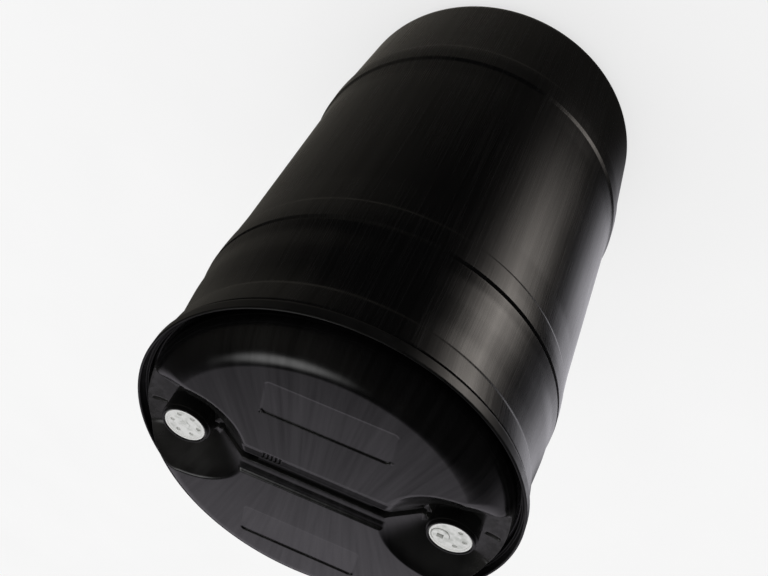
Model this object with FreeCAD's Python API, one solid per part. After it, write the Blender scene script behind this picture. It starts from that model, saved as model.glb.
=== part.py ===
"""Closed-head plastic drum, about 220 litres, with a lifting ring and two threaded closures.

Millimetres, +Z up. The origin is the middle of the standing face, and the two closures lie on the X axis.
Each function returns one piece, and the last section writes one STEP file for each.
"""

import FreeCAD, Part
import math
import os

Vec = FreeCAD.Vector
UP = Vec(0, 0, 1)

# ---- Driving dimensions ----------------------------------------------------------------------------
WALL = 4.2
HEIGHT = 935.0

# Standing face and the recessed base panel inside it.
STAND_OUT_R = 238.0
STAND_IN_R = 204.0
BASE_PANEL_R = 180.0
BASE_RISE = 14.0
CORNER = 40.0

# Side wall: (z, radius) where the straight tapers meet.
LOW_TAPER = ((100.0, 281.4), (160.0, 284.3))
MID_LOW = (284.0, 285.1)
MID_HIGH = (600.0, 286.3)
HIGH_TAPER = ((762.0, 285.4), (795.0, 282.4), (836.0, 280.8))

# Rolling hoops: a crowned band that starts at a crease and ends at a narrow groove above it.
HOOP_CREASE_Z = (199.0, 659.0)
HOOP_CREASE_R = (286.6, 288.0)
HOOP_CROWN_R = (289.4, 290.3)
HOOP_BAND = 47.0
CROWN_AT = 0.55
CROWN_DROP = 0.4
GROOVE_WIDTH = 4.4
GROOVE_DEPTH = 3.0
GROOVE_LIP_DROP = 0.9
HOOP_FALL = 16.0
HOOP_FALL_R = (286.0, 287.4)

# Flare below the lifting ring, and the ledge that the ring is welded to. The wall is thicker there.
FLARE_R = 287.6
SEAT_Z = 877.0
SEAT_IN_R = 275.0
FLARE_LIP_Z = 873.5
FLARE_EXTRA_WALL = 1.5
FLARE_BLEND = 8.4

# Lifting ring.
RING_R = 290.5
RING_LIP_IN_R = 286.2
RING_TOP_Z = 895.5
RING_FLOOR_Z = 882.5
RING_CHAMFER = 2.6
RING_TOP_ROUND = 2.4

# Head: a flat top with a rounded shoulder that drops into the gutter behind the ring.
HEAD_FLAT_R = 223.0
SHOULDER_R = 50.0
SHOULDER_ANGLE = 76.0
SHOULDER_FOOT_R = 274.0

# The two closure wells and the pinch-off channel that joins them.
CLOSURE_X = 200.0
WELL_FLOOR_Z = 894.0
WELL_FLOOR_R = 40.0
WELL_RIM_R = 100.0
WELL_REACH = 110.0
CHANNEL_HALF = 32.0
CHANNEL_DEPTH = 3.6
CHANNEL_DRAFT = 2.0
PINCH_HALF = 7.5
PINCH_DEPTH = 8.0
PINCH_CUT = 3.0

# Cutting shapes run past the surface that they cut by this much.
PAST = 1.0

# Label panels, one on each half of the head.
PANEL_LENGTH = 186.0
PANEL_NEAR_Y = 118.0
PANEL_FAR_Y = 182.0
PANEL_CORNER = 8.0
PANEL_DEPTH = 1.8

# Necks: a stout body, and above it a thinner collar that stands round the plug's flange.
NECK_R = 37.0
NECK_STEP_Z = 919.5
NECK_SEAT_Z = 917.9
COLLAR_R = 34.7
COLLAR_IN_R = 31.7
COLLAR_TOP_Z = 925.4
NECK_FOOT_R = 44.0
NECK_FOOT_THICK = 3.4
NECK_FOOT_Z = WELL_FLOOR_Z - WALL - NECK_FOOT_THICK
EDGE = 0.8

# Closures. The threads are right-handed, with a ridge on the plug between the ridges of the neck.
GASKET_THICK = 1.6
GASKET_INSET = 0.3
SEAL_GAP = 0.04
FLANGE_R = 31.0
FLANGE_THICK = 4.9
FACE_R = 28.0
FACE_DEPTH = 2.4
SHANK_DROP = 17.0
COARSE_PITCH = 4.0
COARSE_ROOT_R = 26.3
COARSE_HEIGHT = 1.7
COARSE_TURNS = 3.0
FINE_PITCH = 2.2
FINE_ROOT_R = 27.2
FINE_HEIGHT = 1.2
FINE_TURNS = 5.0
SMALL_PITCH = 1.8
SMALL_ROOT_R = 9.7
SMALL_HEIGHT = 0.95
SMALL_TURNS = 4.0
THREAD_GAP = 0.5
THREAD_BASE = 0.44
THREAD_CREST = 0.16
THREAD_SINK = 0.3
THREAD_START = 0.6

PLUG_CAVITY_R = 23.0
PLUG_FLOOR = 3.2
POCKET_COUNT = 6
POCKETS_BESIDE_SMALL_PLUG = (2, 3, 4)
POCKET_ORBIT_R = 20.0
POCKET_R = 3.6
POCKET_DEPTH = 2.2
HUB_R = 7.0
HUB_HEIGHT = 1.2

# Small plug, set off-centre in the fine-threaded plug and towards the middle of the drum.
SMALL_OFFSET = Vec(14.2, 3.4, 0)
SMALL_BOSS_R = 14.0
SMALL_BOSS_DROP = 1.5
SMALL_SINK = 0.9
SMALL_FLANGE_R = 12.6
SMALL_FLANGE_THICK = 2.3
SMALL_GASKET_THICK = 1.0
SMALL_SHANK_DROP = 10.5
SMALL_KEY = 9.5
SMALL_KEY_DEPTH = 6.0

# ---- Heights and radii worked out from the above ---------------------------------------------------
HEAD_AXIS_Z = HEIGHT - SHOULDER_R
WELL_SLOPE = math.atan2(HEIGHT - WELL_FLOOR_Z, WELL_RIM_R - WELL_FLOOR_R)
GASKET_Z = NECK_SEAT_Z + SEAL_GAP
FLANGE_Z = GASKET_Z + GASKET_THICK + SEAL_GAP
PLUG_TOP_Z = FLANGE_Z + FLANGE_THICK
PLUG_FACE_Z = PLUG_TOP_Z - FACE_DEPTH
SHANK_FOOT_Z = FLANGE_Z - SHANK_DROP
SMALL_SEAT_Z = PLUG_FACE_Z - SMALL_SINK
SMALL_GASKET_Z = SMALL_SEAT_Z + SEAL_GAP
SMALL_FLANGE_Z = SMALL_GASKET_Z + SMALL_GASKET_THICK + SEAL_GAP
SMALL_TOP_Z = SMALL_FLANGE_Z + SMALL_FLANGE_THICK
SMALL_FOOT_Z = SMALL_FLANGE_Z - SMALL_SHANK_DROP


# ---- Shape helpers ---------------------------------------------------------------------------------
def turned(outline, x=0.0, y=0.0):
    """Solid of revolution about a vertical axis through (x, y).

    The outline is a list of (radius, z) points; a pair of points stands for an arc through the first
    to the second."""
    edges = []
    last = outline[0]
    for step in outline[1:] + [outline[0]]:
        here = Vec(last[0], 0, last[1])
        if isinstance(step[0], tuple):
            via, end = step
            edges.append(Part.Arc(here, Vec(via[0], 0, via[1]), Vec(end[0], 0, end[1])).toShape())
            last = end
        else:
            edges.append(Part.makeLine(here, Vec(step[0], 0, step[1])))
            last = step
    solid = Part.Face(Part.Wire(edges)).revolve(Vec(0, 0, 0), UP, 360)
    solid.translate(Vec(x, y, 0))
    return solid


def tube(outer, inner, z_low, z_high, x=0.0, y=0.0):
    """Plain ring of rectangular section."""
    return turned([(inner, z_low), (outer, z_low), (outer, z_high), (inner, z_high)], x, y)


def prism(points, thickness_vector):
    """Straight solid from a closed list of corner points."""
    return Part.Face(Part.makePolygon(points + [points[0]])).extrude(thickness_vector)


def arc_point(centre_r, centre_z, radius, degrees_from_up):
    """Point of an arc in the (radius, z) plane, measured from straight up towards the outside."""
    turn = math.radians(degrees_from_up)
    return (centre_r + radius * math.sin(turn), centre_z + radius * math.cos(turn))


def thread_ridge(root_r, height, pitch, turns, z_low, outwards):
    """Helical ridge of trapezoid section, sunk slightly into the wall that carries it."""
    side = 1 if outwards else -1
    foot = root_r - side * THREAD_SINK
    crest = root_r + side * height
    base = THREAD_BASE * pitch / 2
    top = THREAD_CREST * pitch / 2
    corners = [Vec(foot, 0, z_low - base), Vec(crest, 0, z_low - top)]
    corners += [Vec(crest, 0, z_low + top), Vec(foot, 0, z_low + base)]
    helix = Part.makeHelix(pitch, turns * pitch, root_r)
    helix.translate(Vec(0, 0, z_low))
    return Part.Wire(helix).makePipeShell([Part.makePolygon(corners + [corners[0]])], True, True)


# ---- Drum shell ------------------------------------------------------------------------------------
def hoop_points(index, inset):
    """Crease, crown, groove and fall of one rolling hoop."""
    low = HOOP_CREASE_Z[index]
    high = low + HOOP_BAND
    crown = HOOP_CROWN_R[index] - inset
    floor = crown - GROOVE_DEPTH
    return [
        (HOOP_CREASE_R[index] - inset, low),
        ((crown, low + HOOP_BAND * CROWN_AT), (crown - CROWN_DROP, high - GROOVE_WIDTH / 2)),
        ((floor, high), (crown - GROOVE_LIP_DROP, high + GROOVE_WIDTH / 2)),
        (HOOP_FALL_R[index] - inset, high + HOOP_FALL),
    ]


def side_points(inset):
    """Side wall from the rounded bottom corner up to the start of the flare."""
    taper_low = [(r - inset, z) for z, r in LOW_TAPER]
    middle = [(MID_LOW[1] - inset, MID_LOW[0]), (MID_HIGH[1] - inset, MID_HIGH[0])]
    taper_high = [(r - inset, z) for z, r in HIGH_TAPER]
    return taper_low + hoop_points(0, inset) + middle + hoop_points(1, inset) + taper_high


def base_points(inset):
    """Base panel, standing face and rounded corner."""
    slope = math.atan2(BASE_RISE, STAND_IN_R - BASE_PANEL_R)
    shift = inset * math.tan(slope / 2)
    radius = CORNER - inset
    corner_mid = arc_point(STAND_OUT_R, CORNER, radius, 135)
    return [
        (0, BASE_RISE + inset),
        (BASE_PANEL_R + shift, BASE_RISE + inset),
        (STAND_IN_R + shift, inset),
        (STAND_OUT_R, inset),
        (corner_mid, (STAND_OUT_R + radius, CORNER)),
    ]


def shoulder_points(inset):
    """Shoulder arc from its foot up to the flat top of the head."""
    radius = SHOULDER_R - inset
    foot = arc_point(HEAD_FLAT_R, HEAD_AXIS_Z, radius, SHOULDER_ANGLE)
    middle = arc_point(HEAD_FLAT_R, HEAD_AXIS_Z, radius, SHOULDER_ANGLE / 2)
    return [foot, (middle, (HEAD_FLAT_R, HEIGHT - inset)), (0, HEIGHT - inset)]


def outer_form():
    """Outside of the drum before the wells are cut, with the flare and the ledge for the ring."""
    rim = [(FLARE_R, FLARE_LIP_Z), (FLARE_R, SEAT_Z), (SEAT_IN_R, SEAT_Z), (SHOULDER_FOOT_R, RING_FLOOR_Z)]
    return turned(base_points(0) + side_points(0) + rim + shoulder_points(0))


def inner_form():
    """Inside of the drum: the outside moved in by one wall, with a plain slope behind the ledge."""
    flare_in = (FLARE_R - WALL - FLARE_EXTRA_WALL, SEAT_Z - WALL - FLARE_BLEND)
    rim = [flare_in, (SEAT_IN_R - WALL, SEAT_Z - WALL), (SHOULDER_FOOT_R - WALL, RING_FLOOR_Z)]
    return turned(base_points(WALL) + side_points(WALL) + rim + shoulder_points(WALL))


def well_cutter(side, inset):
    """Cone about one closure, drawn outwards through the shoulder with the same sloping sides."""
    spread = inset * math.tan(WELL_SLOPE / 2)
    floor_z = WELL_FLOOR_Z - inset
    top_z = HEIGHT + SHOULDER_R
    floor_r = WELL_FLOOR_R + spread
    top_r = floor_r + (top_z - floor_z) / math.tan(WELL_SLOPE)
    x = side * CLOSURE_X
    cone = Part.makeCone(floor_r, top_r, top_z - floor_z, Vec(x, 0, floor_z))
    section = [Vec(x, -floor_r, floor_z), Vec(x, floor_r, floor_z)]
    section += [Vec(x, top_r, top_z), Vec(x, -top_r, top_z)]
    return cone.fuse(prism(section, Vec(side * WELL_REACH, 0, 0)))


def channel_cutter(inset):
    """Shallow channel between the wells, with sloping sides."""
    half = CHANNEL_HALF + inset
    low_half = half - CHANNEL_DRAFT
    low_z = HEIGHT - CHANNEL_DEPTH - inset
    high_z = HEIGHT + PAST
    reach = CLOSURE_X - WELL_FLOOR_R
    section = [Vec(-reach, -low_half, low_z), Vec(-reach, low_half, low_z)]
    section += [Vec(-reach, half, high_z), Vec(-reach, -half, high_z)]
    return prism(section, Vec(2 * reach, 0, 0))


def pinch_cutter(inset):
    """Narrow pinch-off groove along the channel and down the well walls to the necks."""
    half = PINCH_HALF + inset
    crest = HEIGHT - PINCH_DEPTH - inset
    foot = WELL_FLOOR_Z - inset
    run = (crest - foot) / math.tan(WELL_SLOPE)
    foot_x = CLOSURE_X - WELL_FLOOR_R + PINCH_CUT + inset * math.tan(WELL_SLOPE / 2)
    crest_x = foot_x - run
    top = HEIGHT + PAST
    outline = [Vec(-foot_x, -half, foot), Vec(-crest_x, -half, crest), Vec(crest_x, -half, crest)]
    outline += [Vec(foot_x, -half, foot), Vec(foot_x, -half, top), Vec(-foot_x, -half, top)]
    return prism(outline, Vec(0, 2 * half, 0))


def panel_cutter(side, inset):
    """Recess for one label panel, with rounded corners."""
    length = PANEL_LENGTH + 2 * inset
    width = PANEL_FAR_Y - PANEL_NEAR_Y + 2 * inset
    middle_y = side * (PANEL_FAR_Y + PANEL_NEAR_Y) / 2
    low_z = HEIGHT - PANEL_DEPTH - inset
    place = Vec(-length / 2, middle_y - width / 2, low_z)
    block = Part.makeBox(length, width, PANEL_DEPTH + inset + PAST, place)
    corners = [edge for edge in block.Edges if edge.BoundBox.ZLength > PAST]
    return block.makeFillet(PANEL_CORNER, corners)


def carved(form, inset):
    """The revolved form with wells, channel, groove and panels cut into it."""
    cutters = [well_cutter(1, inset), well_cutter(-1, inset), channel_cutter(inset), pinch_cutter(inset)]
    cutters += [panel_cutter(1, inset), panel_cutter(-1, inset)]
    return form.cut(cutters)


def drum_shell():
    """Blow-moulded body: carved outside less carved inside, with a hole for each neck."""
    shell = carved(outer_form(), 0).cut(carved(inner_form(), WALL))
    for side in (1, -1):
        hole = Part.makeCylinder(NECK_R, 6 * WALL, Vec(side * CLOSURE_X, 0, WELL_FLOOR_Z - 3 * WALL))
        shell = shell.cut(hole)
    return shell


# ---- Lifting ring ----------------------------------------------------------------------------------
def lifting_ring():
    """L-section ring: a foot welded to the ledge and a standing lip with a rounded top."""
    top_r = RING_R - RING_TOP_ROUND
    bend = RING_TOP_ROUND * (1 - math.sqrt(0.5))
    lip_in = RING_LIP_IN_R + RING_TOP_ROUND / 2
    return turned([
        (SEAT_IN_R, SEAT_Z),
        (RING_R - RING_CHAMFER, SEAT_Z),
        (RING_R, SEAT_Z + RING_CHAMFER),
        (RING_R, RING_TOP_Z - RING_TOP_ROUND),
        ((RING_R - bend, RING_TOP_Z - bend), (top_r, RING_TOP_Z)),
        (lip_in, RING_TOP_Z),
        (RING_LIP_IN_R, RING_TOP_Z - RING_TOP_ROUND / 2),
        (RING_LIP_IN_R, RING_FLOOR_Z + 2 * EDGE),
        (RING_LIP_IN_R - 2 * EDGE, RING_FLOOR_Z),
        (SHOULDER_FOOT_R, RING_FLOOR_Z),
    ])


# ---- Necks -----------------------------------------------------------------------------------------
def neck(side, root_r, height, pitch, turns):
    """Moulded neck with a foot under the well floor, a collar, a seat for the gasket and a thread."""
    bore = root_r + height + THREAD_GAP
    sleeve = turned([
        (bore, NECK_FOOT_Z),
        (NECK_FOOT_R, NECK_FOOT_Z),
        (NECK_FOOT_R, WELL_FLOOR_Z - WALL),
        (NECK_R, WELL_FLOOR_Z - WALL),
        (NECK_R, NECK_STEP_Z - EDGE),
        (NECK_R - EDGE, NECK_STEP_Z),
        (COLLAR_R, NECK_STEP_Z),
        (COLLAR_R, COLLAR_TOP_Z - EDGE),
        (COLLAR_R - EDGE, COLLAR_TOP_Z),
        (COLLAR_IN_R + EDGE, COLLAR_TOP_Z),
        (COLLAR_IN_R, COLLAR_TOP_Z - EDGE),
        (COLLAR_IN_R, NECK_SEAT_Z),
        (bore, NECK_SEAT_Z),
    ])
    ridge = thread_ridge(bore, height, pitch, turns, thread_low(pitch) - pitch / 2, False)
    solid = sleeve.fuse(ridge)
    solid.translate(Vec(side * CLOSURE_X, 0, 0))
    return solid


# ---- Plugs -----------------------------------------------------------------------------------------
def thread_low(pitch):
    """Height at which a plug's thread starts, above the foot of its shank."""
    return SHANK_FOOT_Z + pitch * THREAD_START


def plug_blank(root_r):
    """Flanged plug with a raised rim, a shallow face and a hollow underside."""
    rim_mid = (FLANGE_R + FACE_R) / 2
    return turned([
        (0, PLUG_FACE_Z - PLUG_FLOOR - POCKET_DEPTH),
        (PLUG_CAVITY_R, PLUG_FACE_Z - PLUG_FLOOR - POCKET_DEPTH),
        (PLUG_CAVITY_R, SHANK_FOOT_Z),
        (root_r - EDGE, SHANK_FOOT_Z),
        (root_r, SHANK_FOOT_Z + EDGE),
        (root_r, FLANGE_Z),
        (FLANGE_R, FLANGE_Z),
        (FLANGE_R, PLUG_TOP_Z - 2 * EDGE),
        ((FLANGE_R - EDGE * 0.6, PLUG_TOP_Z - EDGE * 0.6), (FLANGE_R - 2 * EDGE, PLUG_TOP_Z)),
        (rim_mid - EDGE, PLUG_TOP_Z),
        (FACE_R, PLUG_FACE_Z),
        (0, PLUG_FACE_Z),
    ])


def wrench_pockets(places):
    """Round pockets for the wrench, at some of the even places on a circle in the plug's face."""
    pockets = []
    for index in places:
        turn = math.radians(360 * index / POCKET_COUNT)
        place = Vec(POCKET_ORBIT_R * math.cos(turn), POCKET_ORBIT_R * math.sin(turn), 0)
        place.z = PLUG_FACE_Z - POCKET_DEPTH
        pockets.append(Part.makeCylinder(POCKET_R, 2 * POCKET_DEPTH, place))
    return pockets


def plug_left():
    """Coarse-threaded plug with six wrench pockets and a low hub."""
    blank = plug_blank(COARSE_ROOT_R).cut(wrench_pockets(range(POCKET_COUNT)))
    hub = Part.makeCone(HUB_R, HUB_R - EDGE, HUB_HEIGHT, Vec(0, 0, PLUG_FACE_Z))
    low = thread_low(COARSE_PITCH)
    ridge = thread_ridge(COARSE_ROOT_R, COARSE_HEIGHT, COARSE_PITCH, COARSE_TURNS, low, True)
    solid = blank.fuse([hub, ridge])
    solid.translate(Vec(CLOSURE_X, 0, 0))
    return solid


def plug_right():
    """Fine-threaded plug with an off-centre boss, threaded for the small plug."""
    bore = SMALL_ROOT_R + SMALL_HEIGHT + THREAD_GAP
    offset = SMALL_OFFSET
    boss_low = SMALL_FOOT_Z - SMALL_BOSS_DROP
    boss = Part.makeCylinder(SMALL_BOSS_R, PLUG_FACE_Z - boss_low, offset + Vec(0, 0, boss_low))
    keep = Part.makeCylinder(PLUG_CAVITY_R + PAST, HEIGHT, Vec(0, 0, 0))
    seat = Part.makeCylinder(SMALL_BOSS_R - EDGE, 2 * SMALL_SINK, offset + Vec(0, 0, SMALL_SEAT_Z))
    hole = Part.makeCylinder(bore, HEIGHT, offset)
    blank = plug_blank(FINE_ROOT_R).fuse(boss.common(keep)).cut(wrench_pockets(POCKETS_BESIDE_SMALL_PLUG))
    blank = blank.cut([seat, hole])
    low = small_thread_low() - SMALL_PITCH / 2
    inside = thread_ridge(bore, SMALL_HEIGHT, SMALL_PITCH, SMALL_TURNS, low, False)
    inside.translate(offset)
    ridge = thread_ridge(FINE_ROOT_R, FINE_HEIGHT, FINE_PITCH, FINE_TURNS, thread_low(FINE_PITCH), True)
    solid = blank.fuse([inside, ridge])
    solid.translate(Vec(-CLOSURE_X, 0, 0))
    return solid


def plug_gasket(side, root_r, height):
    """Flat ring that the plug carries between its flange and the neck's seat."""
    inner = root_r + height + THREAD_GAP
    return tube(FLANGE_R - GASKET_INSET, inner, GASKET_Z, GASKET_Z + GASKET_THICK, side * CLOSURE_X)


# ---- Small plug ------------------------------------------------------------------------------------
def small_thread_low():
    """Height at which the small plug's thread starts."""
    return SMALL_FOOT_Z + SMALL_PITCH * THREAD_START


def reducer_plug():
    """Small flanged plug with a square key recess."""
    body = turned([
        (0, SMALL_FOOT_Z),
        (SMALL_ROOT_R - EDGE, SMALL_FOOT_Z),
        (SMALL_ROOT_R, SMALL_FOOT_Z + EDGE),
        (SMALL_ROOT_R, SMALL_FLANGE_Z),
        (SMALL_FLANGE_R, SMALL_FLANGE_Z),
        (SMALL_FLANGE_R, SMALL_TOP_Z - EDGE),
        (SMALL_FLANGE_R - EDGE, SMALL_TOP_Z),
        (0, SMALL_TOP_Z),
    ])
    half = SMALL_KEY / 2
    place = Vec(-half, -half, SMALL_TOP_Z - SMALL_KEY_DEPTH)
    key = Part.makeBox(SMALL_KEY, SMALL_KEY, 2 * SMALL_KEY_DEPTH, place)
    ridge = thread_ridge(SMALL_ROOT_R, SMALL_HEIGHT, SMALL_PITCH, SMALL_TURNS, small_thread_low(), True)
    solid = body.cut(key).fuse(ridge)
    solid.translate(SMALL_OFFSET - Vec(CLOSURE_X, 0, 0))
    return solid


def reducer_gasket():
    """Flat ring under the small plug's flange."""
    inner = SMALL_ROOT_R + SMALL_HEIGHT + THREAD_GAP / 2
    outer = SMALL_FLANGE_R - GASKET_INSET
    ring = tube(outer, inner, SMALL_GASKET_Z, SMALL_GASKET_Z + SMALL_GASKET_THICK)
    ring.translate(SMALL_OFFSET - Vec(CLOSURE_X, 0, 0))
    return ring


# ---- Files -----------------------------------------------------------------------------------------
def pieces():
    """Every piece by the name of its node."""
    return {
        "drum_shell": drum_shell(),
        "lifting_ring": lifting_ring(),
        "neck_insert_left": neck(1, COARSE_ROOT_R, COARSE_HEIGHT, COARSE_PITCH, COARSE_TURNS),
        "neck_insert_right": neck(-1, FINE_ROOT_R, FINE_HEIGHT, FINE_PITCH, FINE_TURNS),
        "plug_left": plug_left(),
        "plug_right": plug_right(),
        "plug_gasket_left": plug_gasket(1, COARSE_ROOT_R, COARSE_HEIGHT),
        "plug_gasket_right": plug_gasket(-1, FINE_ROOT_R, FINE_HEIGHT),
        "reducer_plug": reducer_plug(),
        "reducer_gasket": reducer_gasket(),
    }


os.makedirs("parts", exist_ok=True)
for name, shape in pieces().items():
    print(name, len(shape.Solids), shape.isValid(), round(shape.Volume / 1000, 1), "cm3")
    shape.exportStep("parts/" + name + ".step")
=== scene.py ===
"""Looks of the closed-head plastic drum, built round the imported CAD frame.

Metres, +Z up, both closures on the X axis. The shell and the lifting ring are fine meshes that stand
for their CAD nodes. The other CAD nodes are shown as they are, with materials of their own.
"""

import math

import bpy
import numpy as np
from mathutils import Matrix, Vector

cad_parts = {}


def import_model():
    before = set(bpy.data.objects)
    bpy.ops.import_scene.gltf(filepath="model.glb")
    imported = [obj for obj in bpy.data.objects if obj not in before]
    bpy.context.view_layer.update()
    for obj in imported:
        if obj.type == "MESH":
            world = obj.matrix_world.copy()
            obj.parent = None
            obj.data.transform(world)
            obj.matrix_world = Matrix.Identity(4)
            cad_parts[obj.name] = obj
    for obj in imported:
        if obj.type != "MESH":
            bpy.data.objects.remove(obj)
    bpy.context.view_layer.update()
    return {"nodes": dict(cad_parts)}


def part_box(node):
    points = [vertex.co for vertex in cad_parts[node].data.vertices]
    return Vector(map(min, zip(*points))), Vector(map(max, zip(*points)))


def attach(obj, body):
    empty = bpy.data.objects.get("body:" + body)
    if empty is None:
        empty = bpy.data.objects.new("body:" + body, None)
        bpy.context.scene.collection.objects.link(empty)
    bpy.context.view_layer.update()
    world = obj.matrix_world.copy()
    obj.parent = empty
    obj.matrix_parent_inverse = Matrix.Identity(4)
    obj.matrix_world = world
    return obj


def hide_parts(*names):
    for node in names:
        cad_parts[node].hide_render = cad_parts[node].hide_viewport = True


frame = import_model()

MM = 0.001

# ---- Places read from the frame --------------------------------------------------------------------
shell_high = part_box("drum_shell")[1]
ring_low, ring_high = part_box("lifting_ring")
gasket_low, gasket_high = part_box("plug_gasket_left")

HEAD_Z = shell_high.z
RING_R = ring_high.x
RING_FOOT_Z = ring_low.z
RING_TOP_Z = ring_high.z
CLOSURE_X = (gasket_low.x + gasket_high.x) / 2

# ---- Shape of the drum -----------------------------------------------------------------------------
WALL = 4.2 * MM
HEAD_COLUMNS = 1024
SIDE_COLUMNS = 512
INNER_COLUMNS = 256
HALVING_R = (110.0 * MM, 50.0 * MM, 25.0 * MM, 12.0 * MM)

BASE_RISE = 14.0 * MM
BASE_PANEL_R = 180.0 * MM
STAND_IN_R = 204.0 * MM
STAND_OUT_R = 238.0 * MM
CORNER = 40.0 * MM

# Side wall as (height, radius, rounding) in millimetres: one row for each bend, straight between them.
LOWER_TAPER = ((40.0, 278.0, 8.0), (160.0, 284.4, 8.0), (200.0, 287.2, 1.5))
LOWER_HOOP = ((204.0, 288.4, 1.5), (216.0, 289.2, 3.0), (244.0, 289.2, 1.2), (250.5, 286.3, 1.2))
MIDDLE = ((262.0, 285.9, 4.0), (284.0, 285.1, 8.0), (600.0, 286.3, 8.0), (657.0, 288.4, 1.5))
UPPER_HOOP = (
    (660.5, 289.4, 1.5), (682.0, 290.5, 6.0), (699.0, 290.5, 1.5), (708.0, 289.6, 1.5), (728.0, 286.5, 5.0),
)
UPPER_TAPER = ((760.0, 285.6, 8.0), (805.0, 281.5, 8.0), (822.0, 280.9, 4.0))
FLARE = ((832.0, 281.1, 1.5), (837.0, 282.9, 1.5), (872.0, 287.2, 2.0))
SIDE = LOWER_TAPER + LOWER_HOOP + MIDDLE + UPPER_HOOP + UPPER_TAPER + FLARE
# Heights in millimetres where the mesh rows lie close together: the hoops' edges, the groove, the flare.
FINE_BANDS = ((196.0, 208.0), (236.0, 254.0), (653.0, 664.0), (697.0, 712.0), (828.0, 841.0), (868.0, 872.0))
SIDE_START = 42.0
SIDE_END = 872.0
GROOVE_Z = 703.5 * MM
GROOVE_HALF = 3.2 * MM
GROOVE_DEPTH = 3.6 * MM
GROOVE_SHARPNESS = 0.8
FLARE_R = 287.2 * MM
FLARE_LIP_Z = 872.0 * MM
SEAT_IN_R = 280.0 * MM
TRENCH_Z = 868.5 * MM

HEAD_FLAT_R = 226.5 * MM
EDGE_ROUND = 30.0 * MM
EDGE_ANGLE = math.radians(10)
SHOULDER = 50.0 * MM
SHOULDER_ANGLE = math.radians(78)
SHOULDER_FOOT_R = 273.9 * MM
GUTTER_Z = 882.6 * MM

WELL_FLOOR_Z = 894.0 * MM
WELL_RIM_R = 100.0 * MM
# Well wall as (distance from the closure, height above the floor) in millimetres.
FAR_WALL = ((0.0, 0.0), (40.0, 0.0), (100.0, 41.0), (200.0, 109.0))
NEAR_WALL = ((0.0, 0.0), (43.0, 0.0), (60.0, 21.5), (100.0, 41.0), (200.0, 90.0))
WALL_ROUND = 5.0 * MM
FAR_RIM_ROUND = 1.6 * MM
NEAR_RIM_ROUND = 1.4 * MM
SADDLE_ROUND = 12.0 * MM
OUTER_FLARE = 0.35
OUTER_TURN_R = 245.0 * MM
OUTER_RISE = 5.0 * MM

# Mould line across the head between the wells, as (y, depth) in millimetres: a near ledge, a deep
# groove, a tread and a shallow far ledge.
CHANNEL = (
    (-33.0, 0.0), (-31.5, 0.3), (-25.0, 3.4), (-12.5, 2.4), (-4.0, 9.5), (2.5, 9.5), (7.0, 5.2),
    (12.0, 4.9), (18.0, 4.8), (24.0, 3.5), (30.0, 2.7), (33.0, 1.3), (35.0, 0.0),
)
CHANNEL_ROUND = 0.8 * MM
PINCH_HALF = 7.5 * MM
PINCH_DEPTH = 7.5 * MM
PINCH_START_X = 96.0 * MM
PINCH_END_X = 158.0 * MM
TAIL_Y = 3.0 * MM
TAIL_SHIFT = 4.0 * MM
TAIL_HALF = 3.0 * MM
TAIL_DEPTH = 3.0 * MM
TAIL_START_X = 241.0 * MM
TAIL_END_X = 266.0 * MM
GUSSET_Y = 9.0 * MM
GUSSET_R = 37.0 * MM
GUSSET_HALF = 12.0 * MM
GUSSET_HEIGHT = 10.0 * MM

PANEL_HALF_LENGTH = 91.0 * MM
PANEL_NEAR_Y = 118.0 * MM
PANEL_FAR_Y = 182.0 * MM
PANEL_CORNER = 7.0 * MM
PANEL_NEAR_DEPTH = 0.3 * MM
PANEL_FAR_DEPTH = 1.9 * MM
PANEL_EDGE = 0.9 * MM

# Small moulding marks as (x, y, radius, depth) in millimetres.
MARKS = ((-92.9, -122.7, 2.0, -0.8), (91.0, -117.5, 2.6, 1.2))
TICK_COUNT = 5
TICK_START_X = 53.0 * MM
TICK_PITCH = 6.0 * MM
TICK_Y = -21.0 * MM
TICK_HALF_WIDTH = 1.9 * MM
TICK_HALF_LENGTH = 5.5 * MM
TICK_DEPTH = 2.6 * MM
NECK_HOLE_R = 36.7 * MM
PLUG_RIM_R = 27.5 * MM
INSIDE_CHANNEL = 11.0 * MM
INSIDE_DROP = 3.0 * MM
INSIDE_ROUND = 12.0 * MM

RING_LIP_IN_R = 286.2 * MM
RING_FLOOR_Z = 882.5 * MM
RING_FLOOR_IN_R = 279.8 * MM
RING_VALLEY_Z = 879.6 * MM
CREST = 1.3 * MM


# ---- Mesh helpers ----------------------------------------------------------------------------------
def new_object(name, verts, faces):
    """A smooth-shaded mesh object from an array of points and a list of arrays of corner indices."""
    mesh = bpy.data.meshes.new(name)
    mesh.from_pydata(verts.tolist(), [], [face for array in faces for face in array.tolist()])
    mesh.validate()
    mesh.shade_smooth()
    made = bpy.data.objects.new(name, mesh)
    bpy.context.scene.collection.objects.link(made)
    return made


def columns_at(radius, most):
    """How many points go round at a radius: fewer inside each of the halving radii."""
    return most >> sum(radius < limit for limit in HALVING_R)


def circle(radius, z, columns):
    """Points of one level circle."""
    turn = np.linspace(0, 2 * np.pi, columns, endpoint=False)
    return np.stack([radius * np.cos(turn), radius * np.sin(turn), np.full(columns, z)], axis=1)


def joined(low, low_count, high, high_count):
    """Faces between two circles of points. One circle may have twice as many points as the other."""
    here = np.arange(min(low_count, high_count))
    there = (here + 1) % len(here)
    if low_count == high_count:
        return [np.stack([low + here, low + there, high + there, high + here], axis=1)]
    fine, coarse = (low, high) if low_count > high_count else (high, low)
    a, b, c = fine + 2 * here, fine + 2 * here + 1, fine + 2 * there
    d, e = coarse + here, coarse + there
    corners = ((a, b, d), (b, c, e), (b, e, d))
    if low_count < high_count:
        corners = ((d, b, a), (e, c, b), (d, e, b))
    return [np.stack(corner, axis=1) for corner in corners]


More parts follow.
